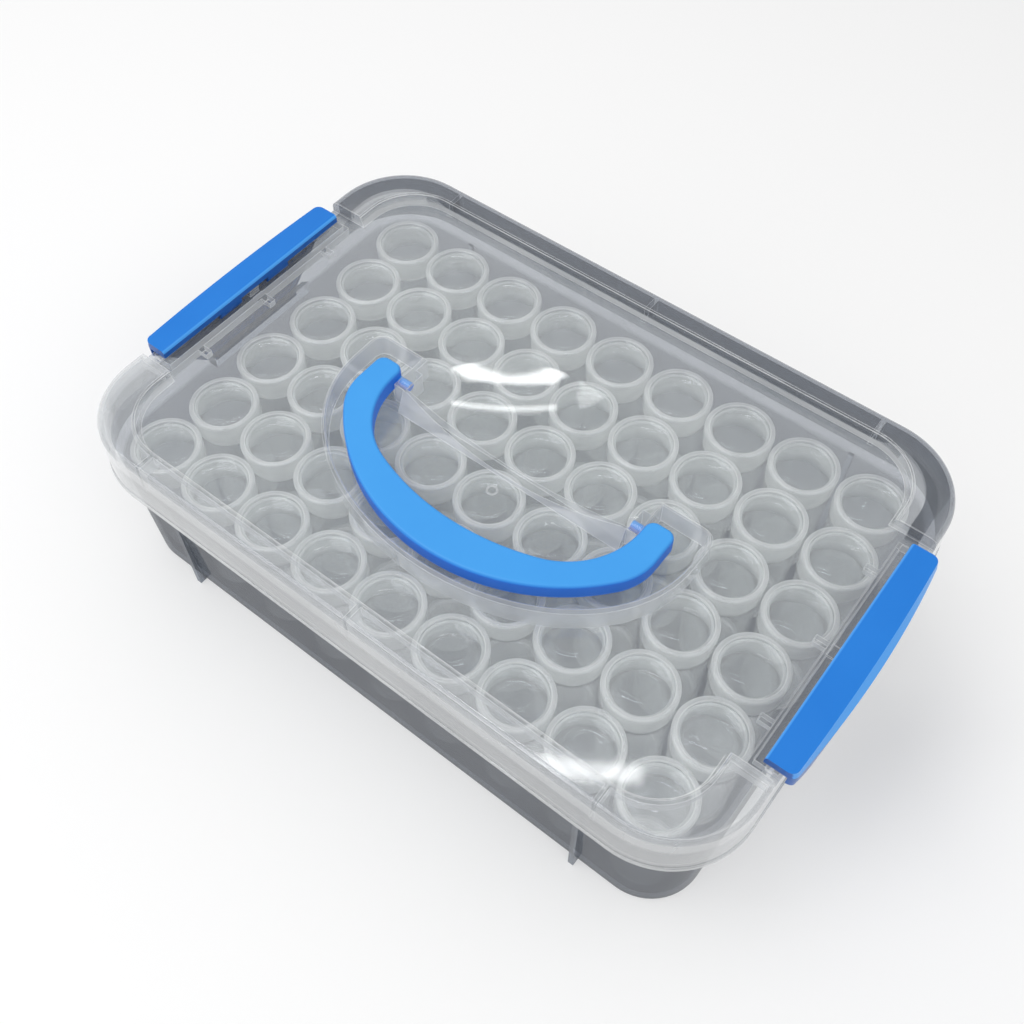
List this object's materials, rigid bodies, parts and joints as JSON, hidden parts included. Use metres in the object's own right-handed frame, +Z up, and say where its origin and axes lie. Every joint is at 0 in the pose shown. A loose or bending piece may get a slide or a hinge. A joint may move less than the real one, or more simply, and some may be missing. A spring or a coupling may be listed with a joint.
{
  "type": "bead storage box",
  "caption": "See-through bead storage box: a tray of small screw-cap jars under a clear lid with a folding carry handle and a swing latch at each end.",
  "frame": {"origin": "centre of the footprint, on the surface that the box stands on", "axes": "+X along the box, from the left latch to the right one; +Y towards the back, away from the folded handle's grip; +Z up"},
  "size_m": [0.3118, 0.2004, 0.0816],
  "materials": {
    "base": "smooth moulded, see-through grey",
    "lid": "glossy moulded, clear",
    "handle": "satin moulded, blue",
    "latch": "satin moulded, blue",
    "jar": "frosted moulded, see-through"
  },
  "bodies": {
    "base": {"base": "base"},
    "lid": {"lid": "lid"},
    "handle": {"handle": "handle"},
    "latch_left": {"latch_left": "latch"},
    "latch_right": {"latch_right": "latch"},
    "jar_r1c1": {"jar_r1c1": "jar"},
    "jar_r1c2": {"jar_r1c2": "jar"},
    "jar_r1c3": {"jar_r1c3": "jar"},
    "jar_r1c4": {"jar_r1c4": "jar"},
    "jar_r1c5": {"jar_r1c5": "jar"},
    "jar_r1c6": {"jar_r1c6": "jar"},
    "jar_r1c7": {"jar_r1c7": "jar"},
    "jar_r1c8": {"jar_r1c8": "jar"},
    "jar_r1c9": {"jar_r1c9": "jar"},
    "jar_r2c1": {"jar_r2c1": "jar"},
    "jar_r2c2": {"jar_r2c2": "jar"},
    "jar_r2c3": {"jar_r2c3": "jar"},
    "jar_r2c4": {"jar_r2c4": "jar"},
    "jar_r2c5": {"jar_r2c5": "jar"},
    "jar_r2c6": {"jar_r2c6": "jar"},
    "jar_r2c7": {"jar_r2c7": "jar"},
    "jar_r2c8": {"jar_r2c8": "jar"},
    "jar_r2c9": {"jar_r2c9": "jar"},
    "jar_r3c1": {"jar_r3c1": "jar"},
    "jar_r3c2": {"jar_r3c2": "jar"},
    "jar_r3c3": {"jar_r3c3": "jar"},
    "jar_r3c4": {"jar_r3c4": "jar"},
    "jar_r3c5": {"jar_r3c5": "jar"},
    "jar_r3c6": {"jar_r3c6": "jar"},
    "jar_r3c7": {"jar_r3c7": "jar"},
    "jar_r3c8": {"jar_r3c8": "jar"},
    "jar_r3c9": {"jar_r3c9": "jar"},
    "jar_r4c1": {"jar_r4c1": "jar"},
    "jar_r4c2": {"jar_r4c2": "jar"},
    "jar_r4c3": {"jar_r4c3": "jar"},
    "jar_r4c4": {"jar_r4c4": "jar"},
    "jar_r4c5": {"jar_r4c5": "jar"},
    "jar_r4c6": {"jar_r4c6": "jar"},
    "jar_r4c7": {"jar_r4c7": "jar"},
    "jar_r4c8": {"jar_r4c8": "jar"},
    "jar_r4c9": {"jar_r4c9": "jar"},
    "jar_r5c1": {"jar_r5c1": "jar"},
    "jar_r5c2": {"jar_r5c2": "jar"},
    "jar_r5c3": {"jar_r5c3": "jar"},
    "jar_r5c4": {"jar_r5c4": "jar"},
    "jar_r5c5": {"jar_r5c5": "jar"},
    "jar_r5c6": {"jar_r5c6": "jar"},
    "jar_r5c7": {"jar_r5c7": "jar"},
    "jar_r5c8": {"jar_r5c8": "jar"},
    "jar_r5c9": {"jar_r5c9": "jar"},
    "jar_r6c1": {"jar_r6c1": "jar"},
    "jar_r6c2": {"jar_r6c2": "jar"},
    "jar_r6c3": {"jar_r6c3": "jar"},
    "jar_r6c4": {"jar_r6c4": "jar"},
    "jar_r6c5": {"jar_r6c5": "jar"},
    "jar_r6c6": {"jar_r6c6": "jar"},
    "jar_r6c7": {"jar_r6c7": "jar"},
    "jar_r6c8": {"jar_r6c8": "jar"},
    "jar_r6c9": {"jar_r6c9": "jar"},
    "cap_r2c8": {"cap_r2c8": "jar"}
  },
  "joints": [
    {"name": "lid_lift", "type": "slide", "parent": "base", "child": "lid", "axis": [0, 0, 1], "range_m": [0, 0.15]},
    {"name": "handle_fold", "type": "hinge", "parent": "lid", "child": "handle", "pos_m": [0, 0.0007, 0.07325], "axis": [-1, 0, 0], "range_deg": [0, 135]},
    {"name": "latch_left_swing", "type": "hinge", "parent": "lid", "child": "latch_left", "pos_m": [-0.1443, 0, 0.07565], "axis": [0, 1, 0], "range_deg": [0, 70]},
    {"name": "latch_right_swing", "type": "hinge", "parent": "lid", "child": "latch_right", "pos_m": [0.1443, 0, 0.07565], "axis": [0, -1, 0], "range_deg": [0, 70]},
    {"name": "jar_r1c1_lift", "type": "slide", "parent": "base", "child": "jar_r1c1", "axis": [0, 0, 1], "range_m": [0, 0.075]},
    {"name": "jar_r1c2_lift", "type": "slide", "parent": "base", "child": "jar_r1c2", "axis": [0, 0, 1], "range_m": [0, 0.075]},
    {"name": "jar_r1c3_lift", "type": "slide", "parent": "base", "child": "jar_r1c3", "axis": [0, 0, 1], "range_m": [0, 0.075]},
    {"name": "jar_r1c4_lift", "type": "slide", "parent": "base", "child": "jar_r1c4", "axis": [0, 0, 1], "range_m": [0, 0.075]},
    {"name": "jar_r1c5_lift", "type": "slide", "parent": "base", "child": "jar_r1c5", "axis": [0, 0, 1], "range_m": [0, 0.075]},
    {"name": "jar_r1c6_lift", "type": "slide", "parent": "base", "child": "jar_r1c6", "axis": [0, 0, 1], "range_m": [0, 0.075]},
    {"name": "jar_r1c7_lift", "type": "slide", "parent": "base", "child": "jar_r1c7", "axis": [0, 0, 1], "range_m": [0, 0.075]},
    {"name": "jar_r1c8_lift", "type": "slide", "parent": "base", "child": "jar_r1c8", "axis": [0, 0, 1], "range_m": [0, 0.075]},
    {"name": "jar_r1c9_lift", "type": "slide", "parent": "base", "child": "jar_r1c9", "axis": [0, 0, 1], "range_m": [0, 0.075]},
    {"name": "jar_r2c1_lift", "type": "slide", "parent": "base", "child": "jar_r2c1", "axis": [0, 0, 1], "range_m": [0, 0.075]},
    {"name": "jar_r2c2_lift", "type": "slide", "parent": "base", "child": "jar_r2c2", "axis": [0, 0, 1], "range_m": [0, 0.075]},
    {"name": "jar_r2c3_lift", "type": "slide", "parent": "base", "child": "jar_r2c3", "axis": [0, 0, 1], "range_m": [0, 0.075]},
    {"name": "jar_r2c4_lift", "type": "slide", "parent": "base", "child": "jar_r2c4", "axis": [0, 0, 1], "range_m": [0, 0.075]},
    {"name": "jar_r2c5_lift", "type": "slide", "parent": "base", "child": "jar_r2c5", "axis": [0, 0, 1], "range_m": [0, 0.075]},
    {"name": "jar_r2c6_lift", "type": "slide", "parent": "base", "child": "jar_r2c6", "axis": [0, 0, 1], "range_m": [0, 0.075]},
    {"name": "jar_r2c7_lift", "type": "slide", "parent": "base", "child": "jar_r2c7", "axis": [0, 0, 1], "range_m": [0, 0.075]},
    {"name": "jar_r2c8_lift", "type": "slide", "parent": "base", "child": "jar_r2c8", "axis": [0, 0, 1], "range_m": [0, 0.075]},
    {"name": "jar_r2c9_lift", "type": "slide", "parent": "base", "child": "jar_r2c9", "axis": [0, 0, 1], "range_m": [0, 0.075]},
    {"name": "jar_r3c1_lift", "type": "slide", "parent": "base", "child": "jar_r3c1", "axis": [0, 0, 1], "range_m": [0, 0.075]},
    {"name": "jar_r3c2_lift", "type": "slide", "parent": "base", "child": "jar_r3c2", "axis": [0, 0, 1], "range_m": [0, 0.075]},
    {"name": "jar_r3c3_lift", "type": "slide", "parent": "base", "child": "jar_r3c3", "axis": [0, 0, 1], "range_m": [0, 0.075]},
    {"name": "jar_r3c4_lift", "type": "slide", "parent": "base", "child": "jar_r3c4", "axis": [0, 0, 1], "range_m": [0, 0.075]},
    {"name": "jar_r3c5_lift", "type": "slide", "parent": "base", "child": "jar_r3c5", "axis": [0, 0, 1], "range_m": [0, 0.075]},
    {"name": "jar_r3c6_lift", "type": "slide", "parent": "base", "child": "jar_r3c6", "axis": [0, 0, 1], "range_m": [0, 0.075]},
    {"name": "jar_r3c7_lift", "type": "slide", "parent": "base", "child": "jar_r3c7", "axis": [0, 0, 1], "range_m": [0, 0.075]},
    {"name": "jar_r3c8_lift", "type": "slide", "parent": "base", "child": "jar_r3c8", "axis": [0, 0, 1], "range_m": [0, 0.075]},
    {"name": "jar_r3c9_lift", "type": "slide", "parent": "base", "child": "jar_r3c9", "axis": [0, 0, 1], "range_m": [0, 0.075]},
    {"name": "jar_r4c1_lift", "type": "slide", "parent": "base", "child": "jar_r4c1", "axis": [0, 0, 1], "range_m": [0, 0.075]},
    {"name": "jar_r4c2_lift", "type": "slide", "parent": "base", "child": "jar_r4c2", "axis": [0, 0, 1], "range_m": [0, 0.075]},
    {"name": "jar_r4c3_lift", "type": "slide", "parent": "base", "child": "jar_r4c3", "axis": [0, 0, 1], "range_m": [0, 0.075]},
    {"name": "jar_r4c4_lift", "type": "slide", "parent": "base", "child": "jar_r4c4", "axis": [0, 0, 1], "range_m": [0, 0.075]},
    {"name": "jar_r4c5_lift", "type": "slide", "parent": "base", "child": "jar_r4c5", "axis": [0, 0, 1], "range_m": [0, 0.075]},
    {"name": "jar_r4c6_lift", "type": "slide", "parent": "base", "child": "jar_r4c6", "axis": [0, 0, 1], "range_m": [0, 0.075]},
    {"name": "jar_r4c7_lift", "type": "slide", "parent": "base", "child": "jar_r4c7", "axis": [0, 0, 1], "range_m": [0, 0.075]},
    {"name": "jar_r4c8_lift", "type": "slide", "parent": "base", "child": "jar_r4c8", "axis": [0, 0, 1], "range_m": [0, 0.075]},
    {"name": "jar_r4c9_lift", "type": "slide", "parent": "base", "child": "jar_r4c9", "axis": [0, 0, 1], "range_m": [0, 0.075]},
    {"name": "jar_r5c1_lift", "type": "slide", "parent": "base", "child": "jar_r5c1", "axis": [0, 0, 1], "range_m": [0, 0.075]},
    {"name": "jar_r5c2_lift", "type": "slide", "parent": "base", "child": "jar_r5c2", "axis": [0, 0, 1], "range_m": [0, 0.075]},
    {"name": "jar_r5c3_lift", "type": "slide", "parent": "base", "child": "jar_r5c3", "axis": [0, 0, 1], "range_m": [0, 0.075]},
    {"name": "jar_r5c4_lift", "type": "slide", "parent": "base", "child": "jar_r5c4", "axis": [0, 0, 1], "range_m": [0, 0.075]},
    {"name": "jar_r5c5_lift", "type": "slide", "parent": "base", "child": "jar_r5c5", "axis": [0, 0, 1], "range_m": [0, 0.075]},
    {"name": "jar_r5c6_lift", "type": "slide", "parent": "base", "child": "jar_r5c6", "axis": [0, 0, 1], "range_m": [0, 0.075]},
    {"name": "jar_r5c7_lift", "type": "slide", "parent": "base", "child": "jar_r5c7", "axis": [0, 0, 1], "range_m": [0, 0.075]},
    {"name": "jar_r5c8_lift", "type": "slide", "parent": "base", "child": "jar_r5c8", "axis": [0, 0, 1], "range_m": [0, 0.075]},
    {"name": "jar_r5c9_lift", "type": "slide", "parent": "base", "child": "jar_r5c9", "axis": [0, 0, 1], "range_m": [0, 0.075]},
    {"name": "jar_r6c1_lift", "type": "slide", "parent": "base", "child": "jar_r6c1", "axis": [0, 0, 1], "range_m": [0, 0.075]},
    {"name": "jar_r6c2_lift", "type": "slide", "parent": "base", "child": "jar_r6c2", "axis": [0, 0, 1], "range_m": [0, 0.075]},
    {"name": "jar_r6c3_lift", "type": "slide", "parent": "base", "child": "jar_r6c3", "axis": [0, 0, 1], "range_m": [0, 0.075]},
    {"name": "jar_r6c4_lift", "type": "slide", "parent": "base", "child": "jar_r6c4", "axis": [0, 0, 1], "range_m": [0, 0.075]},
    {"name": "jar_r6c5_lift", "type": "slide", "parent": "base", "child": "jar_r6c5", "axis": [0, 0, 1], "range_m": [0, 0.075]},
    {"name": "jar_r6c6_lift", "type": "slide", "parent": "base", "child": "jar_r6c6", "axis": [0, 0, 1], "range_m": [0, 0.075]},
    {"name": "jar_r6c7_lift", "type": "slide", "parent": "base", "child": "jar_r6c7", "axis": [0, 0, 1], "range_m": [0, 0.075]},
    {"name": "jar_r6c8_lift", "type": "slide", "parent": "base", "child": "jar_r6c8", "axis": [0, 0, 1], "range_m": [0, 0.075]},
    {"name": "jar_r6c9_lift", "type": "slide", "parent": "base", "child": "jar_r6c9", "axis": [0, 0, 1], "range_m": [0, 0.075]},
    {"name": "cap_turn", "type": "hinge", "parent": "jar_r2c8", "child": "cap_r2c8", "pos_m": [0.0913, -0.0455, 0.06], "axis": [0, 0, 1], "range_deg": [0, 360]}
  ],
  "couplings": [
    {"joint": "jar_r1c1_lift", "follows": "lid_lift", "ratio": 0.5},
    {"joint": "jar_r1c2_lift", "follows": "lid_lift", "ratio": 0.5},
    {"joint": "jar_r1c3_lift", "follows": "lid_lift", "ratio": 0.5},
    {"joint": "jar_r1c4_lift", "follows": "lid_lift", "ratio": 0.5},
    {"joint": "jar_r1c5_lift", "follows": "lid_lift", "ratio": 0.5},
    {"joint": "jar_r1c6_lift", "follows": "lid_lift", "ratio": 0.5},
    {"joint": "jar_r1c7_lift", "follows": "lid_lift", "ratio": 0.5},
    {"joint": "jar_r1c8_lift", "follows": "lid_lift", "ratio": 0.5},
    {"joint": "jar_r1c9_lift", "follows": "lid_lift", "ratio": 0.5},
    {"joint": "jar_r2c1_lift", "follows": "lid_lift", "ratio": 0.5},
    {"joint": "jar_r2c2_lift", "follows": "lid_lift", "ratio": 0.5},
    {"joint": "jar_r2c3_lift", "follows": "lid_lift", "ratio": 0.5},
    {"joint": "jar_r2c4_lift", "follows": "lid_lift", "ratio": 0.5},
    {"joint": "jar_r2c5_lift", "follows": "lid_lift", "ratio": 0.5},
    {"joint": "jar_r2c6_lift", "follows": "lid_lift", "ratio": 0.5},
    {"joint": "jar_r2c7_lift", "follows": "lid_lift", "ratio": 0.5},
    {"joint": "jar_r2c8_lift", "follows": "lid_lift", "ratio": 0.5},
    {"joint": "jar_r2c9_lift", "follows": "lid_lift", "ratio": 0.5},
    {"joint": "jar_r3c1_lift", "follows": "lid_lift", "ratio": 0.5},
    {"joint": "jar_r3c2_lift", "follows": "lid_lift", "ratio": 0.5},
    {"joint": "jar_r3c3_lift", "follows": "lid_lift", "ratio": 0.5},
    {"joint": "jar_r3c4_lift", "follows": "lid_lift", "ratio": 0.5},
    {"joint": "jar_r3c5_lift", "follows": "lid_lift", "ratio": 0.5},
    {"joint": "jar_r3c6_lift", "follows": "lid_lift", "ratio": 0.5},
    {"joint": "jar_r3c7_lift", "follows": "lid_lift", "ratio": 0.5},
    {"joint": "jar_r3c8_lift", "follows": "lid_lift", "ratio": 0.5},
    {"joint": "jar_r3c9_lift", "follows": "lid_lift", "ratio": 0.5},
    {"joint": "jar_r4c1_lift", "follows": "lid_lift", "ratio": 0.5},
    {"joint": "jar_r4c2_lift", "follows": "lid_lift", "ratio": 0.5},
    {"joint": "jar_r4c3_lift", "follows": "lid_lift", "ratio": 0.5},
    {"joint": "jar_r4c4_lift", "follows": "lid_lift", "ratio": 0.5},
    {"joint": "jar_r4c5_lift", "follows": "lid_lift", "ratio": 0.5},
    {"joint": "jar_r4c6_lift", "follows": "lid_lift", "ratio": 0.5},
    {"joint": "jar_r4c7_lift", "follows": "lid_lift", "ratio": 0.5},
    {"joint": "jar_r4c8_lift", "follows": "lid_lift", "ratio": 0.5},
    {"joint": "jar_r4c9_lift", "follows": "lid_lift", "ratio": 0.5},
    {"joint": "jar_r5c1_lift", "follows": "lid_lift", "ratio": 0.5},
    {"joint": "jar_r5c2_lift", "follows": "lid_lift", "ratio": 0.5},
    {"joint": "jar_r5c3_lift", "follows": "lid_lift", "ratio": 0.5},
    {"joint": "jar_r5c4_lift", "follows": "lid_lift", "ratio": 0.5},
    {"joint": "jar_r5c5_lift", "follows": "lid_lift", "ratio": 0.5},
    {"joint": "jar_r5c6_lift", "follows": "lid_lift", "ratio": 0.5},
    {"joint": "jar_r5c7_lift", "follows": "lid_lift", "ratio": 0.5},
    {"joint": "jar_r5c8_lift", "follows": "lid_lift", "ratio": 0.5},
    {"joint": "jar_r5c9_lift", "follows": "lid_lift", "ratio": 0.5},
    {"joint": "jar_r6c1_lift", "follows": "lid_lift", "ratio": 0.5},
    {"joint": "jar_r6c2_lift", "follows": "lid_lift", "ratio": 0.5},
    {"joint": "jar_r6c3_lift", "follows": "lid_lift", "ratio": 0.5},
    {"joint": "jar_r6c4_lift", "follows": "lid_lift", "ratio": 0.5},
    {"joint": "jar_r6c5_lift", "follows": "lid_lift", "ratio": 0.5},
    {"joint": "jar_r6c6_lift", "follows": "lid_lift", "ratio": 0.5},
    {"joint": "jar_r6c7_lift", "follows": "lid_lift", "ratio": 0.5},
    {"joint": "jar_r6c8_lift", "follows": "lid_lift", "ratio": 0.5},
    {"joint": "jar_r6c9_lift", "follows": "lid_lift", "ratio": 0.5}
  ]
}
